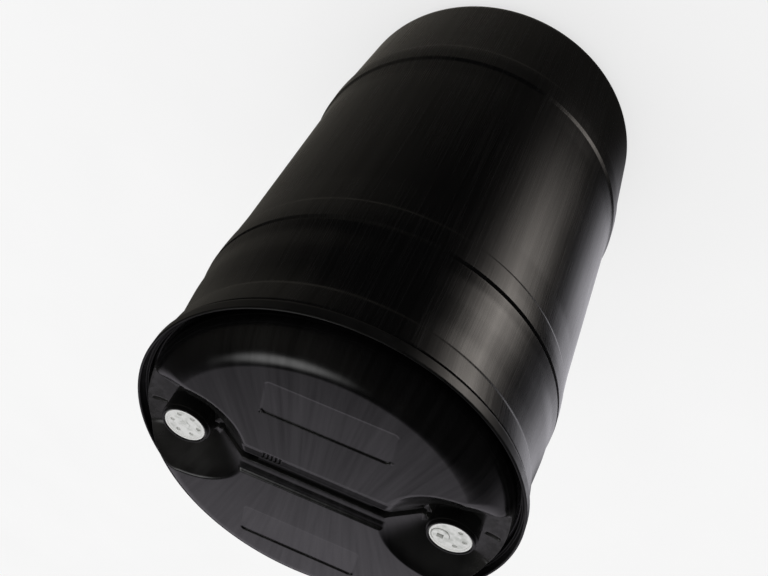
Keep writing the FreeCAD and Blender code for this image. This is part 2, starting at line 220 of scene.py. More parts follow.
def revolved(rows, carve, flip=False, first_index=0):
    """Closed surface of revolution through rows of (radius, z, columns), from the axis to the axis.

    carve(x, y, z) gives new heights. Returns the points and a list of arrays of faces."""
    circles = [circle(radius, z, columns) for radius, z, columns in rows[1:-1]]
    counts = [len(points) for points in circles]
    first = 1 + np.concatenate([[0], np.cumsum(counts)])
    verts = np.vstack([[[0, 0, rows[0][1]]]] + circles + [[[0, 0, rows[-1][1]]]])
    verts[:, 2] = carve(verts[:, 0], verts[:, 1], verts[:, 2])
    faces = []
    for row in range(len(counts) - 1):
        faces += joined(first[row], counts[row], first[row + 1], counts[row + 1])
    for start, count, axis, turn in ((first[0], counts[0], 0, -1), (first[-2], counts[-1], first[-1], 1)):
        here = np.arange(count)
        there = (here + 1) % count
        fan = np.stack([start + here, start + there, np.full(count, axis)], axis=1)
        faces.append(fan[:, ::turn])
    if flip:
        faces = [face[:, ::-1] for face in faces]
    return verts, [face + first_index for face in faces]


def ring_of_revolution(name, outline, columns):
    """Closed solid ring from a closed outline of (radius, z) points, listed outside-up."""
    verts = np.vstack([circle(radius, z, columns) for radius, z in outline])
    faces = []
    for row in range(len(outline)):
        faces += joined(row * columns, columns, (row + 1) % len(outline) * columns, columns)
    return new_object(name, verts, faces)


def arc(centre_r, centre_z, radius, start, end, count):
    """Points of an arc, with angles measured from straight up towards the outside."""
    return [
        (centre_r + radius * math.sin(t), centre_z + radius * math.cos(t))
        for t in np.linspace(start, end, count)
    ]


def ramp(low, high, value):
    """Smooth step from 0 at low to 1 at high."""
    t = np.clip((value - low) / (high - low), 0, 1)
    return t * t * (3 - 2 * t)


def soft_min(a, b, width):
    """The lower of two heights, rounded where they cross."""
    share = np.clip(0.5 + 0.5 * (b - a) / width, 0, 1)
    return b * (1 - share) + a * share - width * share * (1 - share)


# ---- Drum shell ------------------------------------------------------------------------------------
def side_radius(z):
    """Radius of the side wall at each height, with rounded bends and the upper hoop's groove."""
    heights, radii, rounding = np.array(SIDE).T * MM
    reach = np.interp(z, heights, rounding)
    spread = np.linspace(-1, 1, 9)
    weight = 1 + np.cos(np.pi * spread)
    samples = [share * np.interp(z + reach * shift, heights, radii) for shift, share in zip(spread, weight)]
    groove = np.clip(1 - np.abs(z - GROOVE_Z) / GROOVE_HALF, 0, 1) ** GROOVE_SHARPNESS
    return sum(samples) / weight.sum() - GROOVE_DEPTH * groove


def side_heights(coarse, fine):
    """Heights of the side rows: close together at steps and the groove, further apart between them."""
    rows = [np.arange(low, high, fine) for low, high in FINE_BANDS]
    rows.append(np.arange(SIDE_START, SIDE_END, coarse))
    return np.unique(np.round(np.concatenate(rows), 2)) * MM


def base_rows(most, radii, rise):
    """Rows of the base: a raised middle panel inside the standing rim."""
    step = STAND_IN_R - BASE_PANEL_R
    heights = [rise + BASE_RISE * (1 - float(ramp(0, step, r - BASE_PANEL_R))) for r in radii]
    return [(r, z, columns_at(r, most)) for r, z in zip(radii, heights)]


def shoulder_rows(most, inset, count):
    """Rows of the shoulder from its foot up to the flat head, turning faster at the very edge."""
    centre_r = HEAD_FLAT_R - (SHOULDER - EDGE_ROUND) * math.sin(EDGE_ANGLE)
    centre_z = HEAD_Z - EDGE_ROUND - (SHOULDER - EDGE_ROUND) * math.cos(EDGE_ANGLE)
    rows = arc(centre_r, centre_z, SHOULDER - inset, SHOULDER_ANGLE, EDGE_ANGLE, count)
    rows += arc(HEAD_FLAT_R, HEAD_Z - EDGE_ROUND, EDGE_ROUND - inset, EDGE_ANGLE, 0, count // 8)[1:]
    return [(r, z, most) for r, z in rows]


def seat_rows():
    """Rows over the flare's rounded lip, in under the ring, and down and up the trench inside it."""
    lip = [(FLARE_R, 0.8), (FLARE_R - 0.3 * MM, 2.2), (FLARE_R - 1.6 * MM, 3.8), (FLARE_R - 3.4 * MM, 4.9)]
    rows = [(r, FLARE_LIP_Z + up * MM, SIDE_COLUMNS) for r, up in lip]
    rows.append((SEAT_IN_R, RING_FOOT_Z - 0.1 * MM, SIDE_COLUMNS))
    rows.append((SEAT_IN_R - 0.8 * MM, TRENCH_Z + 2 * MM, SIDE_COLUMNS))
    trench = [(SEAT_IN_R - 2.6 * MM, 0), (SHOULDER_FOOT_R + 0.6 * MM, 1.5), (SHOULDER_FOOT_R + 0.2 * MM, 6)]
    rows += [(r, TRENCH_Z + up * MM, HEAD_COLUMNS) for r, up in trench]
    return rows + [(SHOULDER_FOOT_R - n * 0.4 * MM, GUTTER_Z + n * 4 * MM, HEAD_COLUMNS) for n in range(3)]


def outer_rows():
    """Outside of the shell from the middle of the base to the middle of the head."""
    stretches = (np.linspace(2, 176, 30), np.linspace(178, 210, 22), np.linspace(212, 236, 7))
    base_r = np.concatenate(stretches) * MM
    rows = [(0, BASE_RISE, 0)] + base_rows(SIDE_COLUMNS, base_r, 0)
    rows += [(r, z, SIDE_COLUMNS) for r, z in arc(STAND_OUT_R, CORNER, CORNER, math.pi, math.pi / 2, 16)]
    side_z = side_heights(6.0, 0.6)
    rows += [(r, z, SIDE_COLUMNS) for r, z in zip(side_radius(side_z), side_z)]
    rows += seat_rows()
    rows += shoulder_rows(HEAD_COLUMNS, 0, 62)
    rows += [(r, HEAD_Z, columns_at(r, HEAD_COLUMNS)) for r in np.arange(225.7, 1.0, -0.9) * MM]
    return rows + [(0, HEAD_Z, 0)]


def inner_rows():
    """Inside of the shell, one wall in from the outside."""
    stretches = (np.linspace(12, 176, 12), np.linspace(182, 206, 8), np.linspace(214, 236, 4))
    base_r = np.concatenate(stretches) * MM
    rows = [(0, BASE_RISE + WALL, 0)] + base_rows(INNER_COLUMNS, base_r, WALL)
    corner = arc(STAND_OUT_R, CORNER, CORNER - WALL, math.pi, math.pi / 2, 10)
    rows += [(r, z, INNER_COLUMNS) for r, z in corner]
    side_z = side_heights(12.0, 1.5)
    side_z = side_z[(side_z > CORNER + 4 * MM) & (side_z < FLARE_LIP_Z - 8 * MM)]
    rows += [(r - WALL, z, INNER_COLUMNS) for r, z in zip(side_radius(side_z), side_z)]
    rows += [(SHOULDER_FOOT_R - WALL, z, INNER_COLUMNS) for z in (TRENCH_Z - WALL, GUTTER_Z)]
    rows += shoulder_rows(INNER_COLUMNS, WALL, 14)
    rows += [(r, HEAD_Z - WALL, columns_at(r, INNER_COLUMNS)) for r in np.arange(218, 4, -5.0) * MM]
    return rows + [(0, HEAD_Z - WALL, 0)]


def wall_height(distance, wall):
    """Height of a well wall above its floor, with rounded corners."""
    distances, heights = np.array(wall).T * MM
    spread = np.linspace(-1, 1, 7)
    return sum(np.interp(distance + WALL_ROUND * s, distances, heights) for s in spread) / len(spread)


def nearness(y):
    """1 on the side of the wells with soft rims, 0 on the side with crisp ones."""
    return 1 - ramp(-45 * MM, 5 * MM, y)


def well_surface(x, y, floor_z):
    """Height of the nearer well: a flat floor and a wall, flaring outwards and turning up by the ring."""
    out = np.abs(x) - CLOSURE_X
    distance = np.where(out > 0, np.abs(y) - OUTER_FLARE * out, np.hypot(out, y))
    near = nearness(y)
    wall = near * wall_height(distance, NEAR_WALL) + (1 - near) * wall_height(distance, FAR_WALL)
    turn = np.clip((np.hypot(x, y) - OUTER_TURN_R) / (SHOULDER_FOOT_R - OUTER_TURN_R), 0, 1)
    return floor_z + wall + OUTER_RISE * turn ** 2


def panel_depth(x, y):
    """How far the label panels sink the head: a faint step along one long edge, deeper to the other."""
    middle = (PANEL_NEAR_Y + PANEL_FAR_Y) / 2
    half_width = (PANEL_FAR_Y - PANEL_NEAR_Y) / 2
    over_x = np.abs(x) - (PANEL_HALF_LENGTH - PANEL_CORNER)
    over_y = np.abs(np.abs(y) - middle) - (half_width - PANEL_CORNER)
    outside = np.hypot(np.clip(over_x, 0, None), np.clip(over_y, 0, None))
    distance = outside + np.minimum(np.maximum(over_x, over_y), 0) - PANEL_CORNER
    along = np.clip((y - middle * np.sign(y)) / half_width, -1, 1) / 2 + 0.5
    depth = PANEL_NEAR_DEPTH + (PANEL_FAR_DEPTH - PANEL_NEAR_DEPTH) * along
    return depth * (1 - ramp(-PANEL_EDGE, PANEL_EDGE, distance))


def channel_depth(x, y):
    """Depth of the mould line between the wells, with its corners slightly rounded."""
    across, depths = np.array(CHANNEL).T * MM
    shifts = CHANNEL_ROUND * np.linspace(-1, 1, 5)
    depth = sum(np.interp(y + shift, across, depths) for shift in shifts) / len(shifts)
    return depth * (np.abs(x) < CLOSURE_X)


def pinch_depth(x, y):
    """Pinch-off groove down the well walls to the necks, and its short tail beyond them."""
    out = np.abs(x)
    groove = PINCH_DEPTH * ramp(0, 0.7, np.clip(1 - np.abs(y) / PINCH_HALF, 0, 1))
    groove = groove * ramp(PINCH_START_X - 12 * MM, PINCH_START_X, out)
    groove = groove * (1 - ramp(PINCH_END_X - 3 * MM, PINCH_END_X, out))
    off_line = np.abs(y - TAIL_Y - TAIL_SHIFT * np.sign(x))
    tail = TAIL_DEPTH * ramp(0, 1, np.clip(1 - off_line / TAIL_HALF, 0, 1))
    tail = tail * ramp(TAIL_START_X, TAIL_START_X + 4 * MM, out)
    return groove + tail * (1 - ramp(TAIL_END_X - 4 * MM, TAIL_END_X, out))


def gusset_height(x, y):
    """Small three-sided webs at the foot of each neck, either side of the pinch-off."""
    distance = np.hypot(CLOSURE_X - np.abs(x), y)
    beside = np.clip(1 - np.abs(np.abs(y) - GUSSET_Y) / GUSSET_HALF, 0, 1)
    near_neck = np.clip(1 - np.abs(distance - GUSSET_R) / GUSSET_HALF, 0, 1)
    return GUSSET_HEIGHT * np.minimum(beside, near_neck) * (np.abs(x) < CLOSURE_X)


def mark_depth(x, y):
    """Depth of the small moulding marks."""
    depth = 0 * x
    for mark_x, mark_y, radius, deep in MARKS:
        distance = np.hypot(x - mark_x * MM, y - mark_y * MM)
        depth = depth + deep * MM * (1 - ramp(0.4 * radius * MM, radius * MM, distance))
    return depth


def tick_depth(x, y):
    """Depth of the row of short plain grooves beside the mould line."""
    nearest = np.clip(np.round((x - TICK_START_X) / TICK_PITCH), 0, TICK_COUNT - 1)
    across = np.abs(x - TICK_START_X - nearest * TICK_PITCH)
    along = np.abs(y - TICK_Y)
    inside = 1 - ramp(0.4 * TICK_HALF_WIDTH, TICK_HALF_WIDTH, across)
    return TICK_DEPTH * inside * (1 - ramp(0.7 * TICK_HALF_LENGTH, TICK_HALF_LENGTH, along))


def rim_round(x, y):
    """Rounding of the well rims: crisp on the far side, soft on the near side, softest by the shoulder."""
    outer = ramp(CLOSURE_X - 15 * MM, CLOSURE_X + 45 * MM, np.abs(x))
    return FAR_RIM_ROUND + nearness(y) * (NEAR_RIM_ROUND - FAR_RIM_ROUND + SADDLE_ROUND * outer)


def carve_outside(x, y, z):
    """Wells, mould line, grooves, panels and marks cut into the head's outside."""
    on_head = z > GUTTER_Z + 2 * MM
    land = z - channel_depth(x, y) - panel_depth(x, y)
    wells = well_surface(x, y, WELL_FLOOR_Z) + gusset_height(x, y)
    carved = soft_min(land, wells, rim_round(x, y))
    carved = carved - pinch_depth(x, y) - mark_depth(x, y) - tick_depth(x, y)
    return np.where(on_head, carved, z)


def carve_inside(x, y, z):
    """The larger forms on the head's inside, one wall lower or more, and rounder."""
    on_head = z > GUTTER_Z + 2 * MM
    edge = -CHANNEL[0][0] * MM + WALL
    channel = INSIDE_CHANNEL * (1 - ramp(edge - 8 * MM, edge + 6 * MM, np.abs(y)))
    land = z - channel * (np.abs(x) < CLOSURE_X) - PANEL_FAR_DEPTH
    lowered = PINCH_DEPTH * 0.9 * (1 - ramp(8 * MM, 20 * MM, np.abs(y)))
    wells = well_surface(x, y, WELL_FLOOR_Z - WALL) - lowered - INSIDE_DROP
    return np.where(on_head, soft_min(land, wells, INSIDE_ROUND), z)


def cut_neck_holes(shell):
    """Round holes through the well floors, where the necks pass."""
    for side in (-1, 1):
        bpy.ops.mesh.primitive_cylinder_add(
            vertices=96, radius=NECK_HOLE_R, depth=40 * MM, location=(side * CLOSURE_X, 0, WELL_FLOOR_Z)
        )
        cutter = bpy.context.active_object
        hole = shell.modifiers.new("hole", "BOOLEAN")
        hole.operation = "DIFFERENCE"
        hole.solver = "MANIFOLD"
        hole.object = cutter
        bpy.context.view_layer.objects.active = shell
        bpy.ops.object.modifier_apply(modifier=hole.name)
        bpy.data.objects.remove(cutter)


def drum_shell():
    """Blow-moulded body with its head, hoops and base."""
    outer_verts, outer_faces = revolved(outer_rows(), carve_outside)
    inner_verts, inner_faces = revolved(inner_rows(), carve_inside, True, len(outer_verts))
    shell = new_object("body_shell", np.vstack([outer_verts, inner_verts]), outer_faces + inner_faces)
    cut_neck_holes(shell)
    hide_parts("drum_shell")
    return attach(shell, "drum")


# ---- Lifting ring ----------------------------------------------------------------------------------
def lifting_ring():
    """L-section ring: a chamfered foot, a thin rounded lip, and a small crest inside a shallow valley."""
    round_r = (RING_R - RING_LIP_IN_R) / 2
    outline = [(RING_FLOOR_IN_R + 0.6 * MM, RING_FOOT_Z), (RING_R - 3.4 * MM, RING_FOOT_Z)]
    outline += [(RING_R - 2.2 * MM, RING_FOOT_Z + 0.3 * MM), (RING_R - 0.5 * MM, RING_FOOT_Z + 1.9 * MM)]
    outline += [(RING_R, RING_FOOT_Z + 3.2 * MM)]
    outline += [(RING_R, z) for z in np.linspace(RING_FOOT_Z + 5 * MM, RING_TOP_Z - 3.6 * MM, 5)]
    outline += arc(RING_R - round_r, RING_TOP_Z - round_r, round_r, math.pi / 2, -math.pi / 2, 14)
    outline += [(RING_LIP_IN_R, z) for z in np.linspace(RING_TOP_Z - 4 * MM, RING_FLOOR_Z + 2.4 * MM, 4)]
    outline += [(RING_LIP_IN_R - 0.4 * MM, RING_VALLEY_Z + 1.2 * MM)]
    outline += [(RING_LIP_IN_R - 1.6 * MM, RING_VALLEY_Z)]
    outline += arc(RING_FLOOR_IN_R + CREST, RING_FLOOR_Z - 1.0 * MM - CREST, CREST, 0.6, -math.pi / 2, 9)
    ring = ring_of_revolution("ring_moulding", outline, SIDE_COLUMNS)
    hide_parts("lifting_ring")
    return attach(ring, "drum")


# ---- Materials -------------------------------------------------------------------------------------
DEEP_BLACK = (0.0006, 0.0006, 0.0006, 1)
STREAK_BLACK = (0.0020, 0.0019, 0.0020, 1)
MOULDED_DARK = (0.0010, 0.0010, 0.0010, 1)
MOULDED_LIGHT = (0.0032, 0.0031, 0.0030, 1)
DUST = (0.0075, 0.0074, 0.0072, 1)
OUTER_DUST = (0.017, 0.0165, 0.016, 1)
CLEAN_WHITE = (0.74, 0.74, 0.73, 1)
BLOTCHY_WHITE = (0.47, 0.48, 0.46, 1)
# Greyer white for the painted shade in the plugs' hollows.
SHADED_WHITE = (0.42, 0.42, 0.39, 1)
RUBBER_DARK = (0.008, 0.008, 0.008, 1)
RUBBER_LIGHT = (0.02, 0.02, 0.02, 1)
FLOOR_GREY = (0.92, 0.92, 0.92, 1)
FLOOR_PALE = (0.95, 0.95, 0.95, 1)


def add(tree, kind, inputs=None, **settings):
    """A shader node with its settings, values and links in one call."""
    made = tree.nodes.new(kind)
    for key, value in settings.items():
        setattr(made, key, value)
    for socket, value in (inputs or {}).items():
        if isinstance(value, bpy.types.NodeSocket):
            tree.links.new(value, made.inputs[socket])
        else:
            made.inputs[socket].default_value = value
    return made


def math_node(tree, operation, a, b=0.0):
    """Output of one math node."""
    return add(tree, "ShaderNodeMath", {0: a, 1: b}, operation=operation).outputs[0]


def mapped(tree, value, low, high, to_low, to_high):
    """Output of one map-range node."""
    inputs = {"Value": value, "From Min": low, "From Max": high, "To Min": to_low, "To Max": to_high}
    return add(tree, "ShaderNodeMapRange", inputs).outputs["Result"]


def noise(tree, vector, scale, detail=2.0, rough=0.5):
    """Output of one noise texture."""
    inputs = {"Vector": vector, "Scale": scale, "Detail": detail, "Roughness": rough}
    return add(tree, "ShaderNodeTexNoise", inputs).outputs["Fac"]


def material(name):
    """An empty node material: (material, tree, principled node)."""
    made = bpy.data.materials.new(name)
    made.use_nodes = True
    tree = made.node_tree
    return made, tree, tree.nodes["Principled BSDF"]


def object_position(tree):
    """Object position and its three parts."""
    position = add(tree, "ShaderNodeTexCoord").outputs["Object"]
    parts = add(tree, "ShaderNodeSeparateXYZ", {0: position})
    return position, parts.outputs[0], parts.outputs[1], parts.outputs[2]


def length(tree, a, b):
    """Output of the square root of a*a + b*b."""
    squares = math_node(tree, "ADD", math_node(tree, "MULTIPLY", a, a), math_node(tree, "MULTIPLY", b, b))
    return math_node(tree, "SQRT", squares)


def mixed(tree, share, first, second):
    """Output of one number mix."""
    return add(tree, "ShaderNodeMix", {0: share, 2: first, 3: second}).outputs[0]


def blend_colours(tree, share, first, second):
    """Output of one colour mix."""
    return add(tree, "ShaderNodeMix", {0: share, 6: first, 7: second}, data_type="RGBA").outputs[2]


def drawn_streaks(tree, fine_scale, broad_scale):
    """Fine and broad streaks: down the side wall, and fanning out over the flat head."""
    _, x, y, z = object_position(tree)
    radius = math_node(tree, "ADD", length(tree, x, y), 0.001)
    around = {0: math_node(tree, "DIVIDE", x, radius), 1: math_node(tree, "DIVIDE", y, radius)}
    around[2] = math_node(tree, "MULTIPLY", z, 0.035)
    side = add(tree, "ShaderNodeCombineXYZ", around).outputs[0]
    reach = math_node(tree, "ADD", math_node(tree, "ABSOLUTE", y), 0.25)
    fan = math_node(tree, "DIVIDE", math_node(tree, "MULTIPLY", x, 0.25), reach)
    lands = add(tree, "ShaderNodeCombineXYZ", {0: fan, 1: math_node(tree, "MULTIPLY", y, 0.03)}).outputs[0]
    on_head = mapped(tree, z, RING_FOOT_Z, RING_FOOT_Z + 2 * MM, 0.0, 1.0)
    fine_side = noise(tree, side, fine_scale, 3.0, 0.6)
    fine = mixed(tree, on_head, fine_side, noise(tree, lands, fine_scale * 1.5, 3.0, 0.6))
    broad = mixed(tree, on_head, noise(tree, side, broad_scale), noise(tree, lands, broad_scale * 2.2))
    return fine, broad, on_head


def well_dust(tree):
    """How dusty each place is: 1 inside the wells, 0 on the lands and the side."""
    position, x, y, z = object_position(tree)
    out = math_node(tree, "SUBTRACT", math_node(tree, "ABSOLUTE", x), CLOSURE_X)
    inside = mapped(tree, length(tree, out, y), WELL_RIM_R - 10 * MM, WELL_RIM_R + 4 * MM, 1.0, 0.0)
    below = mapped(tree, z, HEAD_Z - 12 * MM, HEAD_Z - 2 * MM, 1.0, 0.0)
    above = mapped(tree, z, GUTTER_Z, GUTTER_Z + 4 * MM, 0.0, 1.0)
    cloud = mapped(tree, noise(tree, position, 26.0, 5.0, 0.65), 0.3, 0.7, 0.45, 1.0)
    in_well = math_node(tree, "MULTIPLY", inside, below)
    return math_node(tree, "MULTIPLY", in_well, math_node(tree, "MULTIPLY", above, cloud))


def groove_shade(tree):
    """1 in the deep groove of the mould line, where a cut sheen paints shade, 0 elsewhere."""
    _, x, y, z = object_position(tree)
    near = mapped(tree, y, -18 * MM, -13 * MM, 0.0, 1.0)
    far = mapped(tree, y, 4 * MM, 8 * MM, 1.0, 0.0)
    deep = mapped(tree, z, HEAD_Z - 2.4 * MM, HEAD_Z - 1.2 * MM, 1.0, 0.0)
    between = mapped(tree, math_node(tree, "ABSOLUTE", x), PINCH_END_X - 6 * MM, PINCH_END_X, 1.0, 0.0)
    in_groove = math_node(tree, "MULTIPLY", near, far)
    return math_node(tree, "MULTIPLY", in_groove, math_node(tree, "MULTIPLY", deep, between))


def body_plastic():
    """Black blow-moulded polyethylene: drawn streaks on the side and head, a little dust in the wells."""
    made, tree, surface = material("black_body_plastic")
    fine, broad, on_head = drawn_streaks(tree, 150.0, 26.0)
    dust = well_dust(tree)
    position, x, _, _ = object_position(tree)
    outer = mapped(tree, math_node(tree, "ABSOLUTE", x), CLOSURE_X + 30 * MM, CLOSURE_X + 50 * MM, 0.0, 1.0)
    tree.links.new(body_tint(tree, fine, dust, outer), surface.inputs["Base Color"])
    tree.links.new(body_roughness(tree, position, fine, broad, on_head), surface.inputs["Roughness"])
    worn_place = math_node(tree, "MULTIPLY", outer, dust)
    tree.links.new(body_sheen(tree, position, fine, broad, worn_place), surface.inputs["Specular IOR Level"])
    tree.links.new(body_bump(tree, position, fine, broad, on_head, dust), surface.inputs["Normal"])
    return made


def body_tint(tree, fine, dust, outer):
    """Near-black, a little greyer along the streaks and greyer still with dust, most by the ring."""
    streak = mapped(tree, fine, 0.25, 0.75, 0.0, 1.0)
    black = blend_colours(tree, streak, DEEP_BLACK, STREAK_BLACK)
    return blend_colours(tree, dust, black, blend_colours(tree, outer, DUST, OUTER_DUST))


def body_roughness(tree, position, fine, broad, on_head):
    """Rougher along the streaks, glossier on the head, uneven over large patches."""
    side = mapped(tree, fine, 0.3, 0.7, 0.20, 0.30)
    head = mapped(tree, broad, 0.3, 0.7, 0.15, 0.22)
    patches = mapped(tree, noise(tree, position, 9.0, 3.0, 0.55), 0.3, 0.7, -0.03, 0.03)
    return math_node(tree, "ADD", mixed(tree, on_head, side, head), patches)


def body_sheen(tree, position, fine, broad, worn_place):
    """How strongly the plastic mirrors: along the streaks, blotchy where worn, and weak in the groove as
    painted shade.
    """
    wide = mapped(tree, broad, 0.25, 0.75, 0.36, 0.56)
    sheen = math_node(tree, "ADD", wide, mapped(tree, fine, 0.3, 0.7, -0.05, 0.13))
    worn = mapped(tree, noise(tree, position, 110.0, 3.0, 0.6), 0.40, 0.62, 0.12, 0.40)
    # Painted shade: the sheen drops to 0.12 in the deep groove of the mould line.
    return mixed(tree, groove_shade(tree), mixed(tree, worn_place, sheen, worn), 0.12)


def body_bump(tree, position, fine, broad, on_head, dust):
    """Bump of the streaks and grain. The broad streaks fade out where there is dust."""
    lines = math_node(tree, "MULTIPLY", fine, mixed(tree, on_head, 1.0, 0.08))
    grain = math_node(tree, "MULTIPLY", noise(tree, position, 900.0, 2.0, 0.5), 0.10)
    swells = math_node(tree, "MULTIPLY", broad, mixed(tree, dust, 0.9, 0.0))
    height = math_node(tree, "ADD", math_node(tree, "ADD", lines, grain), swells)
    return add(tree, "ShaderNodeBump", {"Height": height, "Strength": 0.16, "Distance": 0.0004}).outputs[0]


def moulded_plastic():
    """Black injection-moulded plastic of the ring and necks: plain, with a fine grain and faint clouds."""
    made, tree, surface = material("black_moulded_plastic")
    position = object_position(tree)[0]
    grain = noise(tree, position, 900.0, 2.0, 0.5)
    cloud = noise(tree, position, 40.0, 3.0, 0.55)
    bump = add(tree, "ShaderNodeBump", {"Height": grain, "Strength": 0.10, "Distance": 0.0003}).outputs[0]
    tint = blend_colours(tree, cloud, MOULDED_DARK, MOULDED_LIGHT)
    tree.links.new(tint, surface.inputs["Base Color"])
    tree.links.new(mapped(tree, cloud, 0.3, 0.7, 0.26, 0.36), surface.inputs["Roughness"])
    surface.inputs["Specular IOR Level"].default_value = 0.4
    tree.links.new(bump, surface.inputs["Normal"])
    return made


def white_plastic():
    """Natural white moulded plastic: cleaner rims, blotchy middles, and painted shade darkening the hollows.
    """
    made, tree, surface = material("white_plug_plastic")
    position, x, y, _ = object_position(tree)
    cloud = noise(tree, position, 95.0, 2.0, 0.5)
    speck = noise(tree, position, 420.0, 2.0, 0.5)
    out = math_node(tree, "SUBTRACT", math_node(tree, "ABSOLUTE", x), CLOSURE_X)
    middle = mapped(tree, length(tree, out, y), PLUG_RIM_R - 3 * MM, PLUG_RIM_R, 1.0, 0.0)
    blotches = math_node(tree, "MULTIPLY", middle, mapped(tree, cloud, 0.42, 0.68, 0.25, 1.0))
    clean = blend_colours(tree, blotches, CLEAN_WHITE, BLOTCHY_WHITE)
    # Painted shade: ambient occlusion darkens the hollows towards a greyer white.
    hollow_shade = add(tree, "ShaderNodeAmbientOcclusion", {"Distance": 0.004}, samples=8).outputs["AO"]
    shade_share = mapped(tree, hollow_shade, 0.30, 0.90, 0.40, 0.0)
    shade = blend_colours(tree, shade_share, clean, SHADED_WHITE)
    bump = add(tree, "ShaderNodeBump", {"Height": speck, "Strength": 0.12, "Distance": 0.0003}).outputs[0]
    tree.links.new(shade, surface.inputs["Base Color"])
    tree.links.new(bump, surface.inputs["Normal"])
    tree.links.new(mapped(tree, cloud, 0.3, 0.7, 0.32, 0.5), surface.inputs["Roughness"])
    return made


def black_rubber():
    """Matt black rubber with a fine grain."""
    made, tree, surface = material("seal_rubber_matt")
    position = object_position(tree)[0]
    grain = noise(tree, position, 1200.0, 2.0, 0.6)
    bump = add(tree, "ShaderNodeBump", {"Height": grain, "Strength": 0.3, "Distance": 0.0002}).outputs[0]
    tone = blend_colours(tree, grain, RUBBER_DARK, RUBBER_LIGHT)
    tree.links.new(tone, surface.inputs["Base Color"])
    tree.links.new(bump, surface.inputs["Normal"])
    surface.inputs["Roughness"].default_value = 0.7
    return made


def coat(target, finish):
    """Gives an object one finish, in place of any it had."""
    target.data.materials.clear()
    target.data.materials.append(finish)


# ---- Stage -----------------------------------------------------------------------------------------
WARM = (1.08, 1.0, 0.93)
COOL = (1.01, 0.99, 1.06)
SAND = (1.07, 1.0, 0.87)
LILAC = (1.06, 1.0, 1.10)
WHITE = (1.0, 1.0, 1.0)
DARK_ROOM = (0.002, 0.002, 0.002)
SHEET_HALF = 12.0
MIRROR_DROP = 2.0 * MM
CAMERA_AZIMUTH = math.radians(-8.74)
CAMERA_ELEVATION = math.radians(43.91)
CAMERA_ROLL = math.radians(207.84)
CAMERA_DISTANCE = 1693.0 * MM
CAMERA_AIM_Z = 450.0 * MM
CAMERA_LEFT = 64.8 * MM
CAMERA_DOWN = 36.1 * MM
CAMERA_LENS = 46.38
CAMERA_SENSOR = 36.0


def level_sheet(name, height):
    """A large level sheet."""
    around = ((-1, -1), (1, -1), (1, 1), (-1, 1))
    corners = np.array([[x * SHEET_HALF, y * SHEET_HALF, height] for x, y in around])
    made = new_object(name, corners, [np.array([[0, 1, 2, 3]])])
    return made


def floor():
    """Pale lightbox floor: it glows, so shadows stay faint. The black plastic doesn't mirror it."""
    made = level_sheet("studio_floor", 0.0)
    pale, tree, surface = material("floor_pale")
    position = object_position(tree)[0]
    tone = blend_colours(tree, noise(tree, position, 3.0), FLOOR_GREY, FLOOR_PALE)
    tree.links.new(tone, surface.inputs["Base Color"])
    surface.inputs["Roughness"].default_value = 0.9
    glowing = add(tree, "ShaderNodeEmission", {"Color": tone, "Strength": 1.0}).outputs[0]
    both = add(tree, "ShaderNodeMixShader", {0: 0.7, 1: surface.outputs[0], 2: glowing}).outputs[0]
    tree.links.new(both, tree.nodes["Material Output"].inputs["Surface"])
    coat(made, pale)
    made.visible_glossy = False


def soft_spot(tree, along, across, strength, colour, edge):
    """A coloured light that fades with distance from its middle. A higher edge is flatter-topped."""
    reach = math_node(tree, "POWER", length(tree, along, across), 2.0 * edge)
    fall = math_node(tree, "EXPONENT", math_node(tree, "MULTIPLY", reach, -1.0))
    strength = math_node(tree, "MULTIPLY", fall, strength)
    return add(tree, "ShaderNodeVectorMath", {0: colour, "Scale": strength}, operation="SCALE").outputs[0]


def summed(tree, first, others):
    """Sum of coloured lights."""
    total = first
    for other in others:
        total = add(tree, "ShaderNodeVectorMath", {0: total, 1: other}, operation="ADD").outputs[0]
    return total


def pool(tree, centre, angle, along, across, strength, colour, edge=1.0):
    """A pool of light on the floor, in metres and degrees, long along its angle."""
    offset = add(tree, "ShaderNodeVectorMath", {0: object_position(tree)[0], 1: (centre[0], centre[1], 0)},
                 operation="SUBTRACT").outputs[0]
    turned = add(tree, "ShaderNodeVectorRotate", {"Vector": offset, "Angle": math.radians(-angle)},
                 rotation_type="Z_AXIS").outputs[0]
    parts = add(tree, "ShaderNodeSeparateXYZ", {0: turned})
    u = math_node(tree, "DIVIDE", parts.outputs[0], along)
    v = math_node(tree, "DIVIDE", parts.outputs[1], across)
    return soft_spot(tree, u, v, strength, colour, edge)


def mirrored_floor():
    """What the black plastic mirrors below the horizon: a dark floor with soft pools of light."""
    made = level_sheet("floor_mirrored", -MIRROR_DROP)
    finish = bpy.data.materials.new("floor_pools")
    finish.use_nodes = True
    tree = finish.node_tree
    tree.nodes.clear()
    pools = (
        pool(tree, (-1.05, -0.80), -140, 0.35, 0.30, 4.5, WARM),
        pool(tree, (-0.70, -0.45), -175, 0.25, 0.15, 1.6, WARM),
        pool(tree, (-0.60, 0.50), -50, 0.55, 0.40, 0.9, COOL, 3.0),
        pool(tree, (-1.25, 0.80), 90, 0.60, 0.20, 1.5, COOL),
        pool(tree, (0.90, 0.15), 0, 1.00, 1.00, 0.1, SAND, 2.0),
        pool(tree, (0.30, 0.50), 75, 0.50, 0.15, 0.9, SAND),
    )
    light = summed(tree, DARK_ROOM, pools)
    glowing = add(tree, "ShaderNodeEmission", {"Color": light, "Strength": 1.0}).outputs[0]
    output = add(tree, "ShaderNodeOutputMaterial", {"Surface": glowing})
    output.is_active_output = True
    coat(made, finish)
    made.visible_camera = False
    made.visible_diffuse = False
    made.visible_transmission = False
    made.visible_shadow = False


